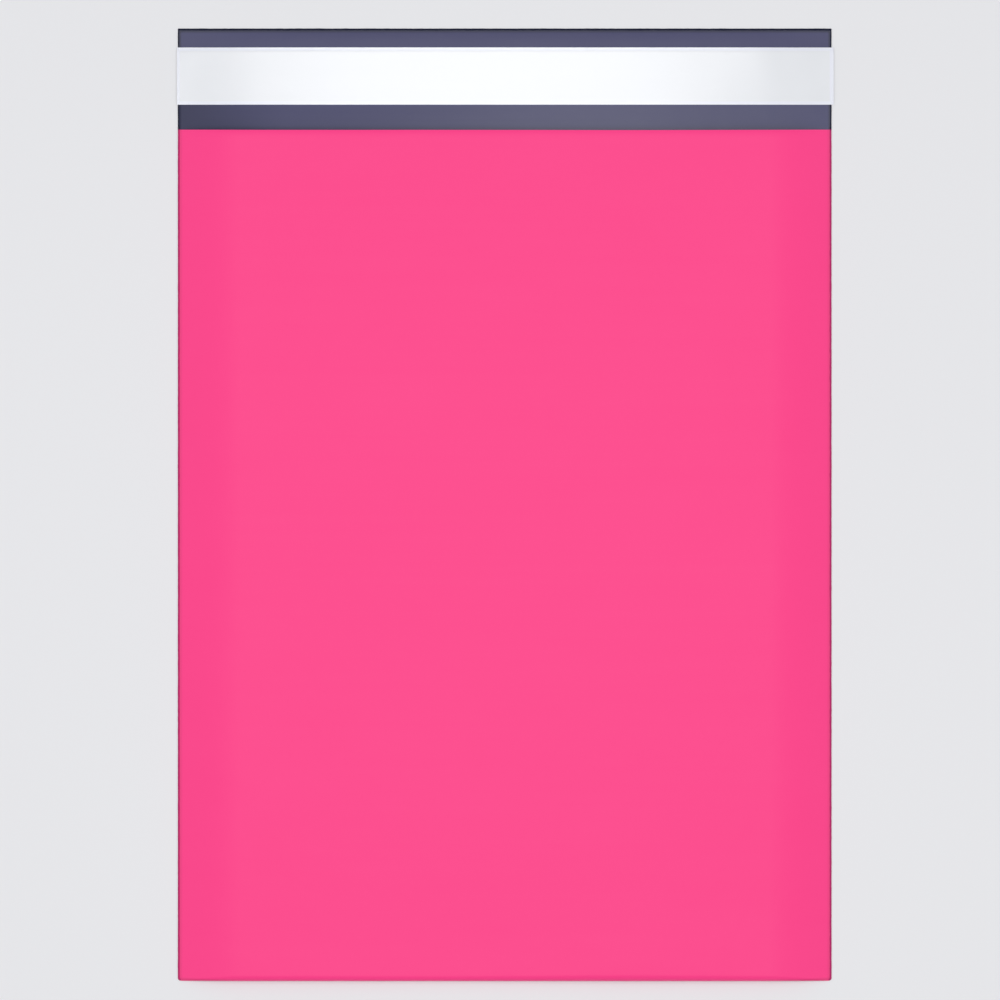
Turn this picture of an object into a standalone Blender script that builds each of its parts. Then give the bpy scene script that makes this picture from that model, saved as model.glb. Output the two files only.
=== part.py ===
"""Poly mailer: a film bag with a self-seal flap, lying on its back panel.

One web of two-colour film is folded once, at the bottom, and hot-cut down both sides, which
welds its two panels together. The back panel runs on past the mouth as a flap, whose free edge
is hot-cut too, and the flap carries a strip of adhesive under a release liner. X runs across
the bag, Y from the bottom fold to the flap, Z up from what the bag lies on. Sizes are in metres.
"""

import math

import bmesh
import bpy

# The bag as it lies, with a little air in it
BAG_WIDTH = 0.2540
POUCH_LENGTH = 0.3302  # bottom fold to mouth
FLAP_LENGTH = 0.0398  # mouth to the flap's free edge
LOFT = 0.0050  # clear height between the panels
SHOULDER = 0.0260  # weld to where the front panel lies level
SHOULDER_FACETS = 14
LEVEL_FACETS = 4
FOLD_FACETS = 16

# The film, and the beads into which it melts where it is hot-cut
FILM = 0.000064
WELDED = 0.0010  # width at each side over which the panels lie shut
WELD_GAP = 0.000020  # left between the panels where they run into a bead
BEAD_WIDTH = 0.0008
BEAD_STAND = 0.00005  # above the front panel, and below the back one
BEAD_OVERRUN = 0.0002  # past the film at both ends of a side
FLAP_BEAD_STAND = 0.00004  # above the flap, and below it
FLAP_BEAD_OVERRUN = 0.0001  # past the flap's film
BEAD_ROUND = 0.00006
BEAD_ROUND_FACETS = 3

# The closure on the flap
ADHESIVE_WIDTH = 0.0190
ADHESIVE_THICKNESS = 0.00008
ADHESIVE_INSET = 0.0010  # from each side of the bag
LINER_WIDTH = 0.0222
LINER_THICKNESS = 0.00005
LINER_FROM_EDGE = 0.0074  # the flap's free edge to the liner
LINER_OVERHANG = 0.0008  # past the bag at each side
SEAT = 0.0003  # clearance under a strip that rests on another piece

HALF_WIDTH = BAG_WIDTH / 2
LENGTH = POUCH_LENGTH + FLAP_LENGTH
BOTTOM = -LENGTH / 2
TOP = LENGTH / 2
MOUTH = BOTTOM + POUCH_LENGTH
FILM_EDGE = HALF_WIDTH - BEAD_WIDTH / 2  # where the panels end, inside a bead
LEVEL_EDGE = HALF_WIDTH - WELDED - SHOULDER
SIDE_BEAD_HEIGHT = 2 * FILM + WELD_GAP + 2 * BEAD_STAND
SIDE_BEAD_SIZE = (BEAD_WIDTH, LENGTH + 2 * BEAD_OVERRUN, SIDE_BEAD_HEIGHT)
SIDE_BEAD_X = HALF_WIDTH - BEAD_WIDTH / 2
FLAP_BEAD_SIZE = (2 * SIDE_BEAD_X, BEAD_WIDTH, FILM + 2 * FLAP_BEAD_STAND)
FLAP_BEAD_Y = TOP + FLAP_BEAD_OVERRUN - BEAD_WIDTH / 2
FLAP_FACE = BEAD_STAND + FILM
ADHESIVE_Z = FLAP_FACE + SEAT + ADHESIVE_THICKNESS / 2
LINER_Z = ADHESIVE_Z + ADHESIVE_THICKNESS / 2 + SEAT + LINER_THICKNESS / 2
CLOSURE_Y = TOP - LINER_FROM_EDGE - LINER_WIDTH / 2

# Finishes: (colour, roughness)
PINK_OUTSIDE = ((0.98, 0.08, 0.28), 0.45)
GREY_INSIDE = ((0.10, 0.10, 0.16), 0.40)
CLEAR_TACK = ((0.80, 0.78, 0.70), 0.25)
WHITE_LINER = ((0.82, 0.84, 0.88), 0.30)


def clear_scene():
    for thing in list(bpy.data.objects):
        bpy.data.objects.remove(thing)


def finish(name, look):
    colour, roughness = look
    material = bpy.data.materials.new(name)
    material.use_nodes = True
    shader = material.node_tree.nodes["Principled BSDF"]
    shader.inputs["Base Color"].default_value = (*colour, 1.0)
    shader.inputs["Roughness"].default_value = roughness
    return material


def object_from(shape, name, *materials):
    mesh = bpy.data.meshes.new(name)
    shape.to_mesh(mesh)
    shape.free()
    for material in materials:
        mesh.materials.append(material)
    made = bpy.data.objects.new(name, mesh)
    bpy.context.scene.collection.objects.link(made)
    return made


def block(size, centre):
    shape = bmesh.new()
    bmesh.ops.create_cube(shape, size=1.0)
    bmesh.ops.scale(shape, verts=shape.verts, vec=size)
    bmesh.ops.translate(shape, verts=shape.verts, vec=centre)
    return shape


def clear_height(x):
    """Gap between the panels: shut at the welds, rising over the shoulders, level between them."""
    from_weld = max(0.0, HALF_WIDTH - WELDED - abs(x))
    rise = math.sin(min(1.0, from_weld / SHOULDER) * math.pi / 2)
    return WELD_GAP + (LOFT - WELD_GAP) * rise


def film_columns():
    """Places across the web: close together on the shoulders, wide apart where it lies level."""
    shoulder = [LEVEL_EDGE + SHOULDER * i / SHOULDER_FACETS for i in range(SHOULDER_FACETS + 1)]
    right = shoulder + [FILM_EDGE]
    level = [LEVEL_EDGE * (2 * i / LEVEL_FACETS - 1) for i in range(1, LEVEL_FACETS)]
    return [-x for x in reversed(right)] + level + right


def film_rows():
    """Places along the web: 0 to 1 is the back panel and flap, 1 to 2 the fold, 2 to 3 the front panel."""
    return [0.0] + [1 + i / FOLD_FACETS for i in range(FOLD_FACETS + 1)] + [3.0]


def folded(x, along, depth):
    """Where a point of the flat web lies once the web is folded; depth is measured from its outer face."""
    axis = clear_height(x) / 2 + FILM  # of the fold: above the back panel, and in from the bottom
    radius = axis - depth
    turn = math.pi * min(1.0, max(0.0, along - 1))
    fold_y = BOTTOM + axis
    if along < 1:
        y = TOP + (fold_y - TOP) * along
    elif along > 2:
        y = fold_y + (MOUTH - fold_y) * (along - 2)
    else:
        y = fold_y - radius * math.sin(turn)
    return x, y, BEAD_STAND + axis - radius * math.cos(turn)


def folded_web():
    """The film: a flat web, doubled to its thickness, closed round its edges, and then folded."""
    columns = film_columns()
    rows = film_rows()
    web = bmesh.new()
    bmesh.ops.create_grid(web, x_segments=len(columns) - 1, y_segments=len(rows) - 1, size=0.5)
    for point in web.verts:
        column = round((point.co.x + 0.5) * (len(columns) - 1))
        row = round((point.co.y + 0.5) * (len(rows) - 1))
        point.co = (columns[column], rows[row], 0.0)
    inner = bmesh.ops.duplicate(web, geom=web.verts[:] + web.edges[:] + web.faces[:])["geom"]
    for item in inner:
        if isinstance(item, bmesh.types.BMVert):
            item.co.z = FILM
        if isinstance(item, bmesh.types.BMFace):
            item.material_index = 1
    rims = [edge for edge in web.edges if edge.is_boundary]
    bmesh.ops.bridge_loops(web, edges=rims)
    for point in web.verts:
        point.co = folded(*point.co)
    for face in web.faces:
        face.smooth = True
    bmesh.ops.recalc_face_normals(web, faces=web.faces)
    return web


def bead(size, centre):
    """A melted edge of the film, the corners along it rounded."""
    shape = block(size, centre)
    long_edges = [edge for edge in shape.edges if edge.calc_length() > max(size) / 2]
    bmesh.ops.bevel(
        shape,
        geom=long_edges,
        offset=BEAD_ROUND,
        segments=BEAD_ROUND_FACETS,
        profile=0.5,
        affect="EDGES",
        material=-1,
    )
    return shape


def weld_on(body, bar):
    bar.hide_render = True
    bar.display_type = "WIRE"
    weld = body.modifiers.new("weld", "BOOLEAN")
    weld.operation = "UNION"
    weld.solver = "EXACT"
    weld.object = bar


def main():
    clear_scene()
    pink = finish("pink_outside", PINK_OUTSIDE)
    grey = finish("grey_inside", GREY_INSIDE)
    tack = finish("clear_tack", CLEAR_TACK)
    white = finish("white_liner", WHITE_LINER)

    bag = object_from(folded_web(), "bag_film", pink, grey)
    for side, name in ((-1, "left_bead"), (1, "right_bead")):
        centre = (side * SIDE_BEAD_X, 0.0, SIDE_BEAD_HEIGHT / 2)
        weld_on(bag, object_from(bead(SIDE_BEAD_SIZE, centre), name, pink))
    centre = (0.0, FLAP_BEAD_Y, BEAD_STAND + FILM / 2)
    weld_on(bag, object_from(bead(FLAP_BEAD_SIZE, centre), "flap_bead", pink))

    adhesive_size = (BAG_WIDTH - 2 * ADHESIVE_INSET, ADHESIVE_WIDTH, ADHESIVE_THICKNESS)
    object_from(block(adhesive_size, (0.0, CLOSURE_Y, ADHESIVE_Z)), "adhesive_strip", tack)
    liner_size = (BAG_WIDTH + 2 * LINER_OVERHANG, LINER_WIDTH, LINER_THICKNESS)
    object_from(block(liner_size, (0.0, CLOSURE_Y, LINER_Z)), "release_liner", white)


main()
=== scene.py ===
"""A poly mailer, empty and unused, lying on its back panel and seen from straight above.

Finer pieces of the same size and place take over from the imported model's three solids: the film
with its thin crowned panels and melted edges, and the strip of adhesive under its release liner,
each with its finish. Sizes are in metres, in the model's own frame: +Y towards the flap, +Z up.
"""

import math

import bmesh
import bpy
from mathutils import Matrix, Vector, noise


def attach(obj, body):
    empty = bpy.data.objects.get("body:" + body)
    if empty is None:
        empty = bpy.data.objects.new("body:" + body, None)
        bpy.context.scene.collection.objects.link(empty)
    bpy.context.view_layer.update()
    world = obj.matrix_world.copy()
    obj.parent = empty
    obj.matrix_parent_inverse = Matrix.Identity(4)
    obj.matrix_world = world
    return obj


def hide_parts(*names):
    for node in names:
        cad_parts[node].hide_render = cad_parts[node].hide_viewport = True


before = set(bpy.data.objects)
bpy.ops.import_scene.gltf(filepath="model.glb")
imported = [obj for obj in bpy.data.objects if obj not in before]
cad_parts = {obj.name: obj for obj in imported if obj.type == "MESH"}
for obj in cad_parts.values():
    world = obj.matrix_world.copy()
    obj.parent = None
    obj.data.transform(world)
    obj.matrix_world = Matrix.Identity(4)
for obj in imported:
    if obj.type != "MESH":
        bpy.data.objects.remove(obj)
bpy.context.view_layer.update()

# The view. The camera hangs over the middle of the bag and looks straight down, far enough away
# that the raised front panel hides nothing, with the flap at the top of a square picture.
PICTURE_WIDTH = 0.38795
LENS = 135.0
SENSOR = 36.0
VIEW_CENTRE_X = -0.00182
VIEW_CENTRE_Y = 0.00180
FRONT_PANEL_HEIGHT = 0.0050

camera_data = bpy.data.cameras.new("camera")
camera_data.lens = LENS
camera_data.sensor_width = SENSOR
camera = bpy.data.objects.new("camera", camera_data)
camera.location = (
    VIEW_CENTRE_X,
    VIEW_CENTRE_Y,
    FRONT_PANEL_HEIGHT / 2 + PICTURE_WIDTH * LENS / SENSOR,
)
bpy.context.scene.collection.objects.link(camera)
bpy.context.scene.camera = camera

# The film web. One length of polyethylene film, blown in two layers, pink outside and grey
# inside, is folded over at the bottom so that its front half ends at the mouth and its back half
# runs on as the flap. A little air holds the panels apart, and they close up at the side welds.
BAG_WIDTH = 0.2540
POUCH_LENGTH = 0.3302  # bottom fold to mouth
FLAP_LENGTH = 0.0398  # mouth to the flap's free edge
LOFT = 0.0050  # clear height between the panels
SHOULDER = 0.0238  # weld to where the front panel lies nearly level
FILM = 0.000064
WELDED = 0.0010  # width at each side over which the panels lie shut
WELD_GAP = 0.000020  # left between the panels there
BEAD_WIDTH = 0.0008
BEAD_STAND = 0.00005  # how far a bead stands out of the film, above it and below
ONE_FILM = 0.6  # share of its width that a side bead keeps past the mouth, where it holds one film
TOP = (POUCH_LENGTH + FLAP_LENGTH) / 2
BOTTOM = -TOP
MOUTH = BOTTOM + POUCH_LENGTH
SIDE = BAG_WIDTH / 2
FILM_EDGE = SIDE - BEAD_WIDTH / 2  # the web itself ends inside its melted edges
FILM_TOP = TOP - BEAD_WIDTH / 2
WANDER = 0.00012  # mean height to which the back panel and the flap wander off the floor
WANDER_LENGTH = 0.045
WANDER_INSET = 0.030  # from each side, over which the wander sets in
FLAP_CROWN = 0.00025  # the strips stiffen the flap, which lies this far off the floor under them
CROWN_START = 0.012  # the crown sets in this far inside the mouth
CROWN_RISE = 0.026  # and is full after this length, and this far in from the sides
CROWN_INSET = 0.075
FLAP_CURL = 0.0074  # the flap curls down to its free edge over this width
SWAY = 0.00090  # height of the front panel's broad sway, and of a finer one on it
SWAY_LENGTH = 0.095
FINE_SWAY = 0.00018
FINE_SWAY_LENGTH = 0.040
PUCKER = 0.00010  # the welds draw the film into puckers
PUCKER_LENGTH = 0.0075
PUCKER_INSET = 0.005  # from the weld to where the puckers are deepest
PUCKER_STRETCH = 0.3  # how fast a pucker changes across the bag, against along it
LIP = 0.0028  # the mouth's edge turns down over this width
LIP_DROP = 0.0004  # and by this much
CREASE = 0.00012  # how far the flattened fold's crease stands out of its round
CREASE_TURN = 0.12  # half the crease's width, in radians of the fold's turn
FOLD_BLEND = 0.02  # past the fold, over which the panels take up their own heights
FOLD_DRAWN_IN = 0.0003  # the air draws the fold in from the corners, and the mouth's edge from its ends
MOUTH_DRAWN_IN = 0.0005
CORNER = 0.0012  # radius to which the melted edges round off the bottom corners
SHARP_EDGE = math.radians(50)


def unevenness(x, y, length, layer):
    """A smooth wandering between about -1 and 1, with bumps of this length; layers wander apart."""
    return noise.noise(Vector((x / length, y / length, layer)))


def smooth_step(share):
    share = min(1.0, max(0.0, share))
    return share * share * (3 - 2 * share)


def bed_height(x, y):
    """How high the back panel and the flap lie: flat on the floor, but for a little wander."""
    from_side = FILM_EDGE - abs(x)
    slow = 1 + unevenness(x, y, WANDER_LENGTH, 3.0)
    wander = WANDER * slow * smooth_step(from_side / WANDER_INSET)
    on_flap = smooth_step((y - MOUTH + CROWN_START) / CROWN_RISE)
    crown = FLAP_CROWN * on_flap * math.sin(math.pi / 2 * min(1.0, from_side / CROWN_INSET))
    uncurled = min(1.0, max(0.0, TOP - BEAD_WIDTH - y) / FLAP_CURL)
    return BEAD_STAND + (wander + crown) * (1 - (1 - uncurled) ** 2)


def clear_height(x, y):
    """The gap between the panels: shut at the welds, crowned over the shoulders, then nearly level."""
    from_weld = max(0.0, SIDE - WELDED - abs(x))
    rise = math.sin(min(1.0, from_weld / SHOULDER) * math.pi / 2)
    sway = SWAY * unevenness(x, y, SWAY_LENGTH, 7.0)
    sway += FINE_SWAY * unevenness(x, y, FINE_SWAY_LENGTH, 9.0)
    near_weld = from_weld / PUCKER_INSET * math.exp(1 - from_weld / PUCKER_INSET)
    pucker = PUCKER * near_weld * unevenness(PUCKER_STRETCH * x, y, PUCKER_LENGTH, 5.0)
    from_mouth = max(0.0, MOUTH - y)
    lip = LIP_DROP * max(0.0, 1 - from_mouth / LIP) ** 2
    return WELD_GAP + rise * (LOFT - WELD_GAP + sway - lip) + pucker


def corner_lift(x):
    """How far the fold runs up at the bag's corners, inside the melted edges."""
    into_corner = max(0.0, abs(x) - SIDE + CORNER) / (CORNER - BEAD_WIDTH / 2)
    return CORNER * (1 - math.sqrt(max(0.0, 1 - into_corner * into_corner)))


def folded_film(x, along, depth):
    """Where a point of the web lies. along is 0 at the flap, 1 to 2 round the fold, 3 at the mouth."""
    fold_gap = clear_height(x, BOTTOM + LOFT / 2)
    axis = fold_gap / 2 + FILM
    radius = axis - depth
    inflated = fold_gap / LOFT
    fold_y = BOTTOM + FOLD_DRAWN_IN * inflated + corner_lift(x) + axis
    mouth_y = MOUTH + MOUTH_DRAWN_IN * (1 - inflated)
    if along <= 1:
        y = FILM_TOP + (fold_y - FILM_TOP) * along
        off_floor = (bed_height(x, y) - BEAD_STAND) * smooth_step((y - fold_y) / FOLD_BLEND)
        return x, y, BEAD_STAND + off_floor + depth
    if along >= 2:
        y = fold_y + (mouth_y - fold_y) * (along - 2)
        settle = smooth_step((y - fold_y) / FOLD_BLEND)
        gap = fold_gap + (clear_height(x, y) - fold_gap) * settle
        return x, y, BEAD_STAND + 2 * FILM + gap - depth
    turn = math.pi * (along - 1)
    from_crease = (turn - math.pi / 2) / CREASE_TURN
    crease = CREASE * radius / (LOFT / 2) * math.exp(-(from_crease**2))
    y = fold_y - radius * math.sin(turn) - crease
    return x, y, BEAD_STAND + axis - radius * math.cos(turn)


def closed_sheet(name, columns, rows, thickness, place):
    """A sheet with two faces and shut edges. place gives the point for a column, a row and a depth."""
    sheet = bmesh.new()
    bmesh.ops.create_grid(sheet, x_segments=len(columns) - 1, y_segments=len(rows) - 1, size=0.5)
    for point in sheet.verts:
        column = round((point.co.x + 0.5) * (len(columns) - 1))
        row = round((point.co.y + 0.5) * (len(rows) - 1))
        point.co = (columns[column], rows[row], 0.0)
    one_face = sheet.verts[:] + sheet.edges[:] + sheet.faces[:]
    for item in bmesh.ops.duplicate(sheet, geom=one_face)["geom"]:
        if isinstance(item, bmesh.types.BMVert):
            item.co.z = thickness
        if isinstance(item, bmesh.types.BMFace):
            item.material_index = 1
    bmesh.ops.bridge_loops(sheet, edges=[edge for edge in sheet.edges if edge.is_boundary])
    for point in sheet.verts:
        point.co = place(*point.co)
    bmesh.ops.recalc_face_normals(sheet, faces=sheet.faces)
    return finished_piece(name, sheet)


def finished_piece(name, shape):
    """Make a shape into an object that is shaded smooth, but for its sharp edges."""
    for face in shape.faces:
        face.smooth = True
    mesh = bpy.data.meshes.new(name)
    shape.to_mesh(mesh)
    shape.free()
    mesh.set_sharp_from_angle(angle=SHARP_EDGE)
    piece = bpy.data.objects.new(name, mesh)
    bpy.context.scene.collection.objects.link(piece)
    return piece


def spread(start, end, steps):
    """Places from start up to, but not including, end."""
    return [start + (end - start) * step / steps for step in range(steps)]


LEVEL_EDGE = SIDE - WELDED - SHOULDER
CLOSE_ROWS_PAST_FLAP = 0.004  # the flap's close rows run on this far inside the mouth
CLOSE_ROWS_AT_LIP = 1.5 * LIP
right_half = (
    spread(0.0, LEVEL_EDGE, 24)
    + spread(LEVEL_EDGE, SIDE - CORNER, 26)
    + spread(SIDE - CORNER, FILM_EDGE, 6)
    + [FILM_EDGE]
)
film_columns = [-x for x in reversed(right_half[1:])] + right_half
back_length = TOP - BOTTOM
curl_share = FLAP_CURL / back_length
flap_share = (FLAP_LENGTH + CLOSE_ROWS_PAST_FLAP) / back_length
lip_share = CLOSE_ROWS_AT_LIP / POUCH_LENGTH
film_rows = (
    spread(0.0, curl_share, 14)
    + spread(curl_share, flap_share, 36)
    + spread(flap_share, 1.0, 80)
    + spread(1.0, 2.0, 32)
    + spread(2.0, 3.0 - lip_share, 190)
    + spread(3.0 - lip_share, 3.0, 12)
    + [3.0]
)
film = closed_sheet("film_web", film_columns, film_rows, FILM, folded_film)


class Level:
    """A number that varies over a surface. Maths with it adds the nodes that work it out."""

    def __init__(self, finish, socket):
        self.finish = finish
        self.socket = socket

    def worked(self, operation, first, second):
        return self.finish.node("ShaderNodeMath", {"operation": operation}, {0: first, 1: second})

    def __add__(self, other):
        return self.worked("ADD", self, other)

    def __radd__(self, other):
        return self.worked("ADD", other, self)

    def __sub__(self, other):
        return self.worked("SUBTRACT", self, other)

    def __mul__(self, other):
        return self.worked("MULTIPLY", self, other)

    def __rmul__(self, other):
        return self.worked("MULTIPLY", other, self)

    def __abs__(self):
        return self.worked("ABSOLUTE", self, 0.0)


class Finish:
    """One surface finish: a material, its shader, and the nodes that vary it."""

    def __init__(self, name, **shader_values):
        self.material = bpy.data.materials.new(name)
        self.material.use_nodes = True
        self.shader = self.material.node_tree.nodes["Principled BSDF"]
        for socket, value in shader_values.items():
            self.shader.inputs[socket.replace("_", " ")].default_value = value
        self.place = self.node("ShaderNodeTexCoord", {}, {}, "Object")

    def node(self, kind, settings, inputs, output=0):
        made = self.material.node_tree.nodes.new(kind)
        for setting, value in settings.items():
            setattr(made, setting, value)
        for socket, value in inputs.items():
            self.feed(made.inputs[socket], value)
        return Level(self, made.outputs[output])

    def feed(self, socket, value):
        if isinstance(value, Level):
            self.material.node_tree.links.new(value.socket, socket)
        elif socket.type == "RGBA":
            socket.default_value = (*value, 1.0)
        else:
            socket.default_value = value

    def along(self, axis):
        """How far the surface lies along X, Y or Z."""
        return self.node("ShaderNodeSeparateXYZ", {}, {"Vector": self.place}, axis)

    def rising(self, level, start, end):
        """0 up to the start, 1 from the end on, and smooth between them."""
        inputs = {"Value": level, "From Min": start, "From Max": end}
        return self.node("ShaderNodeMapRange", {"interpolation_type": "SMOOTHSTEP"}, inputs)

    def stretched(self, scale):
        """The surface's own coordinates, multiplied along each axis."""
        return self.node("ShaderNodeMapping", {}, {"Vector": self.place, "Scale": scale})

    def mottle(self, scale, detail=2.0):
        """Noise from 0 to 1; scale is in bumps to the metre along each axis."""
        inputs = {"Vector": self.stretched(scale), "Scale": 1.0, "Detail": detail}
        return self.node("ShaderNodeTexNoise", {}, inputs)

    def between(self, share, first, second):
        """One colour turning into another."""
        return self.node("ShaderNodeMix", {"data_type": "RGBA"}, {0: share, 6: first, 7: second}, 2)

    def relief(self, height, depth):
        """Bumps in the surface, depth metres from their feet to their tops."""
        inputs = {"Strength": 1.0, "Distance": depth, "Height": height}
        self.feed(self.shader.inputs["Normal"], self.node("ShaderNodeBump", {}, inputs))


# Outside face of the film. The pigment is very even; the die leaves faint lines across the bag,
# the way that the web ran, and blowing leaves a fine orange peel that softens its shine. A painted
# edge shade darkens the film along the sides, and in the bottom crease close to the corners.
EDGE_SHADE_WIDTH = 0.0021  # width of the painted edge shade beside a cut
CREASE_SHADE = 0.0016  # from the bottom, and full at the second width
CREASE_SHADE_FULL = 0.0005
CORNER_SHADE = 0.030  # from the side, and full at the second width
CORNER_SHADE_FULL = 0.004
PINK = (0.966, 0.034, 0.231)
PINK_THIN = (0.972, 0.038, 0.239)
PINK_EDGE_SHADE = (0.76, 0.030, 0.180)
PINK_ROUGHNESS = 0.51
PINK_RELIEF = 0.00020
outside = Finish("film_pink_outside", IOR=1.45)
die_lines = outside.mottle((4.0, 420.0, 420.0))
orange_peel = outside.mottle((900.0, 900.0, 900.0))
handling = outside.mottle((75.0, 75.0, 75.0), 4.0)
pigment = outside.mottle((26.0, 60.0, 60.0), 3.0)
from_middle = abs(outside.along("X"))
by_the_sides = outside.rising(from_middle, SIDE - EDGE_SHADE_WIDTH, SIDE - BEAD_WIDTH / 2)
by_the_corners = outside.rising(from_middle, SIDE - CORNER_SHADE, SIDE - CORNER_SHADE_FULL)
in_the_crease = outside.rising(
    outside.along("Y"), BOTTOM + CREASE_SHADE, BOTTOM + CREASE_SHADE_FULL
)
# Painted shade: the film darkens towards its side edges, and in the bottom crease near the corners.
painted_edge_shade = by_the_sides + by_the_corners * in_the_crease
pink = outside.between(painted_edge_shade, outside.between(pigment, PINK, PINK_THIN), PINK_EDGE_SHADE)
outside.feed(outside.shader.inputs["Base Color"], pink)
pink_roughness = PINK_ROUGHNESS + 0.03 * die_lines + 0.02 * orange_peel
outside.feed(outside.shader.inputs["Roughness"], pink_roughness)
outside.relief(0.96 * handling + 0.02 * die_lines + 0.02 * orange_peel, PINK_RELIEF)

# Inside face of the film. The lining is loaded with carbon black and white, which makes it opaque
# and a bluish grey. It is a little smoother than the outside. Handling has rubbed it at the mouth,
# which is a little shinier on the right, duller on the left, and dullest at the left end, where
# painted shade also makes it darker and greyer. Painted edge shade darkens it along the flap's edges.
GREY = (0.036, 0.036, 0.108)
GREY_THIN = (0.041, 0.041, 0.117)
GREY_PAINTED_SHADE = (0.037, 0.038, 0.077)
GREY_EDGE_SHADE = (0.009, 0.011, 0.042)
GREY_ROUGHNESS = 0.38
GREY_RELIEF = 0.00012
FLAP_EDGE_SHADE_WIDTH = 0.0017  # the same, along the flap's sides
RUBBED_REACH = 0.028  # past the mouth, and full up to the second width
RUBBED_FULL = 0.014
LEFT_HALF = (0.040, -0.090)  # along X, from where it sets in to where it is full
LEFT_END = (-0.080, -0.140)
RUBBED = 0.115  # added to the roughness over the left half, and more at the left end
RUBBED_LEFT = 0.27
RUBBED_SHINY = 0.05  # taken off it all along the mouth
inside = Finish("film_grey_inside", IOR=1.48)
lining_lines = inside.mottle((4.0, 380.0, 380.0))
lining_peel = inside.mottle((800.0, 800.0, 800.0))
lining_cloud = inside.mottle((22.0, 50.0, 50.0), 3.0)
lining_handling = inside.mottle((70.0, 70.0, 70.0), 4.0)
across_flap = inside.along("X")
along_lining = inside.along("Y")
at_mouth = inside.rising(along_lining, MOUTH + RUBBED_REACH, MOUTH + RUBBED_FULL)
left_half = inside.rising(across_flap, *LEFT_HALF)
left_end = inside.rising(across_flap, *LEFT_END)
by_the_flap_sides = inside.rising(
    abs(across_flap), SIDE - FLAP_EDGE_SHADE_WIDTH, SIDE - ONE_FILM * BEAD_WIDTH
)
by_the_flap_edge = inside.rising(along_lining, TOP - EDGE_SHADE_WIDTH, TOP - BEAD_WIDTH)
grey = inside.between(lining_cloud, GREY, GREY_THIN)
# Painted shade: the lining is darker and greyer along the mouth towards its left end.
grey = inside.between(at_mouth * left_end, grey, GREY_PAINTED_SHADE)
# Painted edge shade: the lining darkens along the flap's sides and its free edge.
grey = inside.between(by_the_flap_sides + by_the_flap_edge, grey, GREY_EDGE_SHADE)
inside.feed(inside.shader.inputs["Base Color"], grey)
rubbed = at_mouth * (RUBBED * left_half + RUBBED_LEFT * left_end - RUBBED_SHINY)
grey_roughness = GREY_ROUGHNESS + 0.05 * lining_lines + 0.03 * lining_peel + rubbed
inside.feed(inside.shader.inputs["Roughness"], grey_roughness)
inside.relief(0.94 * lining_handling + 0.03 * lining_lines + 0.03 * lining_peel, GREY_RELIEF)

film.data.materials.append(outside.material)
film.data.materials.append(inside.material)
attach(film, "root")
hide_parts("bag_film")

# Melted edges. A hot knife cuts the bags apart down both sides and melts the film back into a
# thin bead, which is the weld; along the flap's free edge it seals the film's two layers.
SIDE_BEAD_HEIGHT = 2 * FILM + WELD_GAP + 2 * BEAD_STAND
FLAP_BEAD_HEIGHT = FILM + 2 * BEAD_STAND
BEAD_FACETS = 12  # round a bead's cross-section
SIDE_BEAD_CUTS = 800
FLAP_BEAD_CUTS = 560
BLUNT_END = 1.02  # a little over 1, so that a bead's end doesn't close to a point
WAVER = 0.00005  # a bead's edge wavers by this much, and by a slower, smaller amount
WAVER_LENGTH = 0.0016
SLOW_WAVER = 0.00003
SLOW_WAVER_LENGTH = 0.006
DROPS = 0.00003  # height of the set drops on a bead
DROPS_LENGTH = 0.0021
THINNING = 0.003  # past the mouth, over which a side bead gets thinner
MELTED_PINK = (0.44, 0.018, 0.122)
MELTED_GREY = (0.006, 0.008, 0.026)
PINK_ENDS = 0.0010  # past the mouth, over which a bead turns from pink to grey
MELTED_ROUGHNESS = 0.45
MELTED_RELIEF = 0.00004


def melted_edge(name, start, end, height, cuts, path):
    """A rod of set film from start to end, its outline a little uneven, then laid on its path."""
    rod = bmesh.new()
    bmesh.ops.create_cone(
        rod, segments=BEAD_FACETS, radius1=0.5, radius2=0.5, depth=1.0, cap_ends=True
    )
    sides = [edge for edge in rod.edges if edge.verts[0].co.z * edge.verts[1].co.z < 0]
    bmesh.ops.subdivide_edges(rod, edges=sides, cuts=cuts)
    for point in rod.verts:
        across, up, share = point.co
        along = (start + end) / 2 + (end - start) / 2 * math.sin(math.pi * share)
        into_end = max(0.0, 1 - min(along - start, end - along) / (BEAD_WIDTH / 2))
        full = math.sqrt(BLUNT_END - into_end * into_end)
        outward = WAVER * unevenness(across, along, WAVER_LENGTH, 11.0)
        outward += SLOW_WAVER * unevenness(across, along, SLOW_WAVER_LENGTH, 12.0)
        rise = DROPS * unevenness(across, along, DROPS_LENGTH, 13.0)
        x, y = path((BEAD_WIDTH * across + outward) * full, along)
        point.co = (x, y, max(0.0, height * (up + 0.5) + rise))
    bmesh.ops.recalc_face_normals(rod, faces=rod.faces)
    return finished_piece(name, rod)


def down_left_side(across, along):
    """Straight down the bag's side, then round its bottom corner. Past the mouth it is thinner."""
    kept = 1 - (1 - ONE_FILM) * smooth_step((along - MOUTH) / THINNING)
    across = BEAD_WIDTH / 2 - (BEAD_WIDTH / 2 - across) * kept
    turn = min(math.pi / 2, max(0.0, BOTTOM + CORNER - along) / CORNER)
    if turn == 0:
        return -SIDE + BEAD_WIDTH / 2 - across, along
    from_centre = CORNER - BEAD_WIDTH / 2 + across
    x = -SIDE + CORNER - from_centre * math.cos(turn)
    return x, BOTTOM + CORNER - from_centre * math.sin(turn)


def down_right_side(across, along):
    x, y = down_left_side(across, along)
    return -x, y


def along_flap(across, along):
    return along, TOP - BEAD_WIDTH / 2 + across


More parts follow.
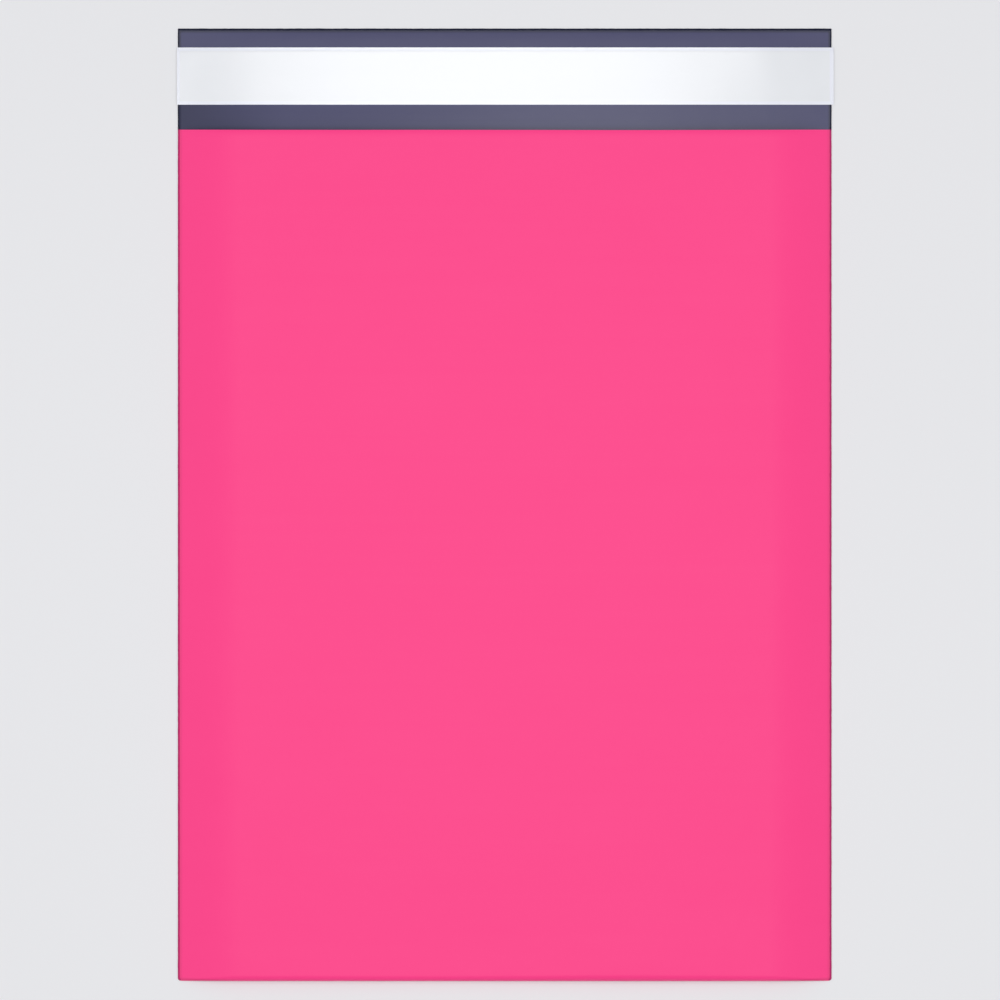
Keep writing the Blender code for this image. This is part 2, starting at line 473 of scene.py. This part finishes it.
melted = Finish("film_melted_edge", Specular_IOR_Level=0.10)
set_drops = melted.mottle((500.0, 500.0, 500.0))
past_mouth = melted.rising(melted.along("Y"), MOUTH, MOUTH + PINK_ENDS)
melted_colour = melted.between(past_mouth, MELTED_PINK, MELTED_GREY)
melted.feed(melted.shader.inputs["Base Color"], melted_colour)
melted.feed(melted.shader.inputs["Roughness"], MELTED_ROUGHNESS + 0.14 * set_drops)
melted.relief(set_drops, MELTED_RELIEF)

side_start = BOTTOM + CORNER - CORNER * math.pi / 2
beads = (
    melted_edge("left_weld", side_start, TOP, SIDE_BEAD_HEIGHT, SIDE_BEAD_CUTS, down_left_side),
    melted_edge("right_weld", side_start, TOP, SIDE_BEAD_HEIGHT, SIDE_BEAD_CUTS, down_right_side),
    melted_edge("flap_edge", -SIDE, SIDE, FLAP_BEAD_HEIGHT, FLAP_BEAD_CUTS, along_flap),
)
for bead in beads:
    bead.data.materials.append(melted.material)
    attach(bead, "root")

# Adhesive. A band of clear hot-melt is laid across the flap as the web runs, and stays tacky
# under its liner. Its two long edges are a little thicker, where the bead of melt rolled out.
ADHESIVE_WIDTH = 0.0190
ADHESIVE_THICKNESS = 0.00008
ADHESIVE_INSET = 0.0010  # from each side of the bag
ADHESIVE_SEAT = 0.000002  # between the film and the band
ROLL = 0.00002  # how much thicker the rolled-out edges are
ROLL_INSET = 0.0010  # from the band's edge to where it is thickest
ROLL_WIDTH = 0.0006
EDGE_ROUND = 0.0006  # width over which the band's edges round off
LINER_WIDTH = 0.0222
LINER_FROM_EDGE = 0.0074  # the flap's free edge to the liner
CLOSE_ROWS_OF_BAND = 0.002  # the band's rows are close over this width at each long edge
TACK = (0.70, 0.68, 0.60)
TACK_THICK = (0.78, 0.76, 0.68)
TACK_ROUGHNESS = 0.12
TACK_RELIEF = 0.00002
CLOSURE_Y = TOP - LINER_FROM_EDGE - LINER_WIDTH / 2
adhesive_end = SIDE - ADHESIVE_INSET
adhesive_half = ADHESIVE_WIDTH / 2


def adhesive_height(y):
    """The band's upper face above the film: level, a little proud at its edges, then rounded off."""
    from_side = adhesive_half - abs(y - CLOSURE_Y)
    roll = ROLL * math.exp(-(((from_side - ROLL_INSET) / ROLL_WIDTH) ** 2))
    return (ADHESIVE_THICKNESS + roll) * smooth_step(from_side / EDGE_ROUND)


def adhesive_place(x, y, depth):
    seat = bed_height(x, y) + FILM
    return x, y, seat + (adhesive_height(y) + 2 * ADHESIVE_SEAT if depth == 0 else ADHESIVE_SEAT)


adhesive_columns = spread(-adhesive_end, adhesive_end, 120) + [adhesive_end]
band_low = CLOSURE_Y - adhesive_half
band_high = CLOSURE_Y + adhesive_half
adhesive_rows = (
    spread(band_low, band_low + CLOSE_ROWS_OF_BAND, 10)
    + spread(band_low + CLOSE_ROWS_OF_BAND, band_high - CLOSE_ROWS_OF_BAND, 10)
    + spread(band_high - CLOSE_ROWS_OF_BAND, band_high, 10)
    + [band_high]
)
adhesive = closed_sheet(
    "adhesive_band", adhesive_columns, adhesive_rows, ADHESIVE_THICKNESS, adhesive_place
)
tack = Finish("adhesive_clear_tack", IOR=1.48)
rolled_out = tack.mottle((12.0, 260.0, 260.0))
tack.feed(tack.shader.inputs["Base Color"], tack.between(rolled_out, TACK, TACK_THICK))
tack.feed(tack.shader.inputs["Roughness"], TACK_ROUGHNESS + 0.10 * rolled_out)
tack.relief(rolled_out, TACK_RELIEF)
adhesive.data.materials.append(tack.material)
adhesive.data.materials.append(tack.material)
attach(adhesive, "root")
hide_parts("adhesive_strip")

# Release liner. A strip of white film with a silicone coat covers the adhesive, which takes some of
# its whiteness where they touch. Past the band and its ends the liner is paler, partly as it lies
# free of the adhesive, and partly with a painted highlight along its margins. It sinks to the flap
# along both sides of the band. Its ends lift over the welds and stand past them, more at the right,
# as the film melts back and the liner doesn't.
LINER_THICKNESS = 0.00005
LINER_LEFT = -SIDE - 0.0003
LINER_RIGHT = SIDE + 0.0008
LINER_SEAT = 0.00001  # between the liner and what it lies on
LINER_SINK = 0.0018  # width over which the liner sinks from the band to the flap
SINK_START = 0.0005  # from the band's edge, on the band
LINER_FREE = 0.0006  # past the band's edge, over which the liner comes free of it
LINER_WANDER = 0.00003  # how far the liner wanders off its seat, at most
LINER_WANDER_LENGTH = 0.012
END_LIFT = 0.00013  # how far the liner's ends lift, and the length over which they do
END_LIFT_LENGTH = 0.030
CLOSE_COLUMNS_OF_LINER = 0.008  # from each side of the bag
CLOSE_ROWS_OF_LINER = 0.003
WHITE_ON_TACK = (0.690, 0.704, 0.730)
WHITE_ON_TACK_THIN = (0.702, 0.716, 0.742)
WHITE_FREE_AND_HIGHLIGHT = (0.715, 0.729, 0.800)
LINER_ROUGHNESS = 0.137
LINER_RELIEF = 0.000008


def liner_place(x, y, depth):
    from_band = max(0.0, abs(y - CLOSURE_Y) - adhesive_half + SINK_START)
    over_band = (ADHESIVE_THICKNESS + LINER_SEAT) * (1 - smooth_step(from_band / LINER_SINK))
    from_end = min(x - LINER_LEFT, LINER_RIGHT - x)
    over_bead = END_LIFT * max(0.0, 1 - from_end / END_LIFT_LENGTH) ** 2
    wander = max(0.0, LINER_WANDER * unevenness(x, y, LINER_WANDER_LENGTH, 21.0))
    seat = bed_height(x, y) + FILM + LINER_SEAT + over_band + over_bead + wander
    return x, y, seat + LINER_THICKNESS - depth


level_end = SIDE - CLOSE_COLUMNS_OF_LINER
liner_columns = (
    spread(LINER_LEFT, -level_end, 12)
    + spread(-level_end, level_end, 90)
    + spread(level_end, LINER_RIGHT, 12)
    + [LINER_RIGHT]
)
liner_low = CLOSURE_Y - LINER_WIDTH / 2
liner_high = CLOSURE_Y + LINER_WIDTH / 2
liner_rows = (
    spread(liner_low, liner_low + CLOSE_ROWS_OF_LINER, 14)
    + spread(liner_low + CLOSE_ROWS_OF_LINER, liner_high - CLOSE_ROWS_OF_LINER, 12)
    + spread(liner_high - CLOSE_ROWS_OF_LINER, liner_high, 14)
    + [liner_high]
)
liner = closed_sheet("liner_strip", liner_columns, liner_rows, LINER_THICKNESS, liner_place)
release = Finish("liner_white_release", IOR=1.64)
drawn_lines = release.mottle((6.0, 500.0, 500.0))
coat_cloud = release.mottle((35.0, 120.0, 120.0), 3.0)
off_middle = abs(release.along("Y") - CLOSURE_Y)
past_band = release.rising(off_middle, adhesive_half, adhesive_half + LINER_FREE)
past_end = release.rising(abs(release.along("X")), adhesive_end, adhesive_end + LINER_FREE)
touching = release.between(coat_cloud, WHITE_ON_TACK, WHITE_ON_TACK_THIN)
# Past the band and the adhesive's ends the liner is paler: partly free of the tack, partly a painted
# highlight.
white = release.between(past_band + past_end, touching, WHITE_FREE_AND_HIGHLIGHT)
release.feed(release.shader.inputs["Base Color"], white)
liner_roughness = LINER_ROUGHNESS + 0.04 * drawn_lines + 0.03 * coat_cloud
release.feed(release.shader.inputs["Roughness"], liner_roughness)
release.relief(drawn_lines, LINER_RELIEF)
liner.data.materials.append(release.material)
liner.data.materials.append(release.material)
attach(liner, "root")
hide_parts("release_liner")

# The floor and the light. A plain pale floor carries the bag. A long soft lamp hangs over it and
# puts the shine in the middle of the strips, a soft lamp stands at either side, and a pale sky
# fills the rest.
FLOOR_SIZE = 6.0
FLOOR_DROP = 0.0001  # below the bag's lowest point
FLOOR_PALE = (0.76, 0.76, 0.775)
FLOOR_PALER = (0.80, 0.80, 0.81)
SKY = (0.96, 0.97, 1.0, 1.0)
SKY_STRENGTH = 0.498
floor_shape = bmesh.new()
bmesh.ops.create_grid(floor_shape, x_segments=1, y_segments=1, size=FLOOR_SIZE / 2)
bmesh.ops.translate(floor_shape, verts=floor_shape.verts, vec=(0.0, 0.0, -FLOOR_DROP))
floor = finished_piece("floor", floor_shape)
floor_finish = Finish("floor_pale", Roughness=0.6)
floor_cloud = floor_finish.mottle((1.5, 1.5, 1.5))
floor_colour = floor_finish.between(floor_cloud, FLOOR_PALE, FLOOR_PALER)
floor_finish.feed(floor_finish.shader.inputs["Base Color"], floor_colour)
floor.data.materials.append(floor_finish.material)

sky = bpy.data.worlds.new("sky")
sky.use_nodes = True
sky.node_tree.nodes["Background"].inputs["Color"].default_value = SKY
sky.node_tree.nodes["Background"].inputs["Strength"].default_value = SKY_STRENGTH
bpy.context.scene.world = sky


def soft_lamp(name, place, aim, size_x, size_y, power):
    lamp_data = bpy.data.lights.new(name, "AREA")
    lamp_data.shape = "RECTANGLE"
    lamp_data.size = size_x
    lamp_data.size_y = size_y
    lamp_data.energy = power
    lamp = bpy.data.objects.new(name, lamp_data)
    lamp.location = place
    lamp.rotation_euler = (Vector(place) - Vector(aim)).to_track_quat("Z", "Y").to_euler()
    lamp.visible_camera = False
    bpy.context.scene.collection.objects.link(lamp)


OVERHEAD_X = -0.014  # the shine lies a little left of the middle
soft_lamp(
    "overhead_lamp",
    place=(OVERHEAD_X, 0.0, 1.75),
    aim=(OVERHEAD_X, 0.0, 0.0),
    size_x=0.475,
    size_y=1.3,
    power=11.3,
)
for side in (-1, 1):
    soft_lamp(
        f"side_lamp_{side}",
        place=(side * 1.3, 0.0, 1.10),
        aim=(0.0, 0.0, 0.0),
        size_x=1.2,
        size_y=0.6,
        power=4.4,
    )
bpy.context.scene.view_settings.view_transform = "Standard"
